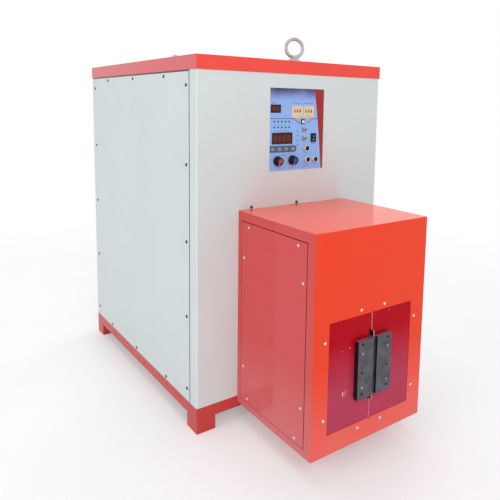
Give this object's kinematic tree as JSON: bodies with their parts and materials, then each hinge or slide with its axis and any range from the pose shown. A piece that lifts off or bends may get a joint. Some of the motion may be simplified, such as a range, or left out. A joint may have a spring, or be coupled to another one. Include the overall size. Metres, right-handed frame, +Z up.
{
  "type": "induction heating machine",
  "caption": "Floor-standing induction heating machine with a lifting-eyed cabinet, a control panel and a projecting heat station box with output plates.",
  "frame": {"origin": "middle of the footprint, at the floor", "axes": "+Z up, the control panel and output plates face -Y, +X to the right seen from the front"},
  "size_m": [0.806, 1.497, 1.337],
  "materials": {
    "cabinet_paint": "satin",
    "red_paint": "gloss",
    "base_paint": "satin",
    "frame_paint": "satin",
    "plain_steel": "satin",
    "dark_screws": "satin",
    "bright_screws": "polished",
    "eyebolt_steel": "satin",
    "panel_paint": "satin",
    "display_window": "gloss",
    "lamp_lens": "gloss",
    "strip_film": "satin",
    "knob_black": "satin",
    "switch_metal": "polished",
    "rocker_black": "gloss",
    "button_black": "gloss",
    "reset_white": "gloss",
    "switch_tan": "matte",
    "wheel_black": "matte",
    "key_tan": "matte",
    "board_green": "satin",
    "crimson_board": "satin",
    "plate_dark": "satin",
    "film_cream": "matte",
    "core_iron": "matte",
    "coil_copper": "satin",
    "can_aluminium": "satin",
    "module_ivory": "matte",
    "contactor_black": "matte",
    "hose_blue": "satin",
    "gland_black": "matte",
    "fitting_brass": "polished",
    "fan_black": "matte",
    "guard_chrome": "polished"
  },
  "bodies": {
    "machine": {"base_frame": "base_paint", "cabinet_frame": "frame_paint", "floor_plate": "plain_steel", "front_panel": "cabinet_paint", "left_side_panel": "cabinet_paint", "right_side_panel": "cabinet_paint", "rear_panel": "cabinet_paint", "top_lid": "red_paint", "panel_screws": "dark_screws", "lifting_eyebolts": "eyebolt_steel", "control_panel": "panel_paint", "displays": "display_window", "indicator_lamps": "lamp_lens", "key_strip": "strip_film", "potentiometers": "plain_steel", "toggle_switches": "switch_metal", "rocker_housing": "rocker_black", "button_bezels": "switch_metal", "setting_switches": "switch_tan", "setting_keys": "key_tan", "control_board": "board_green", "box_shell": "red_paint", "left_box_cover": "red_paint", "right_box_cover": "red_paint", "box_screws": "bright_screws", "insulating_panels": "crimson_board", "left_output_plate": "plate_dark", "right_output_plate": "plate_dark", "insulating_sheet": "film_cream", "output_screws": "bright_screws", "transformer_core": "core_iron", "primary_coil": "coil_copper", "tank_capacitors": "can_aluminium", "power_modules": "module_ivory", "cold_plate": "can_aluminium", "dc_capacitors": "can_aluminium", "filter_choke": "core_iron", "main_contactor": "contactor_black", "mounting_plate": "plain_steel", "water_hoses": "hose_blue", "cable_gland": "gland_black", "water_fittings": "fitting_brass", "fan_frame": "fan_black", "fan_guard": "guard_chrome"},
    "left_knob": {"left_knob": "knob_black"},
    "right_knob": {"right_knob": "knob_black"},
    "upper_toggle": {"upper_toggle": "switch_metal"},
    "lower_toggle": {"lower_toggle": "switch_metal"},
    "power_rocker": {"power_rocker": "rocker_black"},
    "upper_button": {"upper_button": "button_black"},
    "lower_left_button": {"lower_left_button": "button_black"},
    "lower_right_button": {"lower_right_button": "button_black"},
    "reset_button": {"reset_button": "reset_white"},
    "number_wheel_1": {"number_wheel_1": "wheel_black"},
    "number_wheel_2": {"number_wheel_2": "wheel_black"},
    "number_wheel_3": {"number_wheel_3": "wheel_black"},
    "number_wheel_4": {"number_wheel_4": "wheel_black"},
    "number_wheel_5": {"number_wheel_5": "wheel_black"},
    "number_wheel_6": {"number_wheel_6": "wheel_black"},
    "fan_rotor": {"fan_rotor": "fan_black"}
  },
  "joints": [
    {"name": "left_knob_turn", "type": "hinge", "parent": "machine", "child": "left_knob", "pos_m": [-0.08544, -0.3335, 0.90701], "axis": [0, 1, 0], "range_deg": [0, 300]},
    {"name": "right_knob_turn", "type": "hinge", "parent": "machine", "child": "right_knob", "pos_m": [-0.0204, -0.3335, 0.90787], "axis": [0, 1, 0], "range_deg": [0, 300]},
    {"name": "upper_toggle_flip", "type": "hinge", "parent": "machine", "child": "upper_toggle", "pos_m": [0.03096, -0.3285, 1.01406], "axis": [1, 0, 0], "range_deg": [0, 24]},
    {"name": "lower_toggle_flip", "type": "hinge", "parent": "machine", "child": "lower_toggle", "pos_m": [0.03096, -0.3285, 0.98307], "axis": [1, 0, 0], "range_deg": [0, 24]},
    {"name": "power_rocker_flip", "type": "hinge", "parent": "machine", "child": "power_rocker", "pos_m": [0.0744, -0.3235, 0.98508], "axis": [1, 0, 0], "range_deg": [-16, 0]},
    {"name": "upper_button_press", "type": "slide", "parent": "machine", "child": "upper_button", "axis": [0, 1, 0], "range_m": [0, 0.003], "stiffness_N_per_m": 300},
    {"name": "lower_left_button_press", "type": "slide", "parent": "machine", "child": "lower_left_button", "axis": [0, 1, 0], "range_m": [0, 0.003], "stiffness_N_per_m": 300},
    {"name": "lower_right_button_press", "type": "slide", "parent": "machine", "child": "lower_right_button", "axis": [0, 1, 0], "range_m": [0, 0.003], "stiffness_N_per_m": 300},
    {"name": "reset_button_press", "type": "slide", "parent": "machine", "child": "reset_button", "axis": [0, 1, 0], "range_m": [0, 0.0015], "stiffness_N_per_m": 300},
    {"name": "number_wheel_1_turn", "type": "hinge", "parent": "machine", "child": "number_wheel_1", "pos_m": [-0.01394, -0.31311, 1.07999], "axis": [1, 0, 0], "continuous": true},
    {"name": "number_wheel_2_turn", "type": "hinge", "parent": "machine", "child": "number_wheel_2", "pos_m": [-0.00144, -0.31311, 1.07999], "axis": [1, 0, 0], "continuous": true},
    {"name": "number_wheel_3_turn", "type": "hinge", "parent": "machine", "child": "number_wheel_3", "pos_m": [0.01106, -0.31311, 1.07999], "axis": [1, 0, 0], "continuous": true},
    {"name": "number_wheel_4_turn", "type": "hinge", "parent": "machine", "child": "number_wheel_4", "pos_m": [0.03694, -0.31311, 1.07999], "axis": [1, 0, 0], "continuous": true},
    {"name": "number_wheel_5_turn", "type": "hinge", "parent": "machine", "child": "number_wheel_5", "pos_m": [0.04944, -0.31311, 1.07999], "axis": [1, 0, 0], "continuous": true},
    {"name": "number_wheel_6_turn", "type": "hinge", "parent": "machine", "child": "number_wheel_6", "pos_m": [0.06194, -0.31311, 1.07999], "axis": [1, 0, 0], "continuous": true},
    {"name": "fan_spin", "type": "hinge", "parent": "machine", "child": "fan_rotor", "pos_m": [0, 0.6675, 1.01], "axis": [0, 1, 0], "continuous": true}
  ]
}
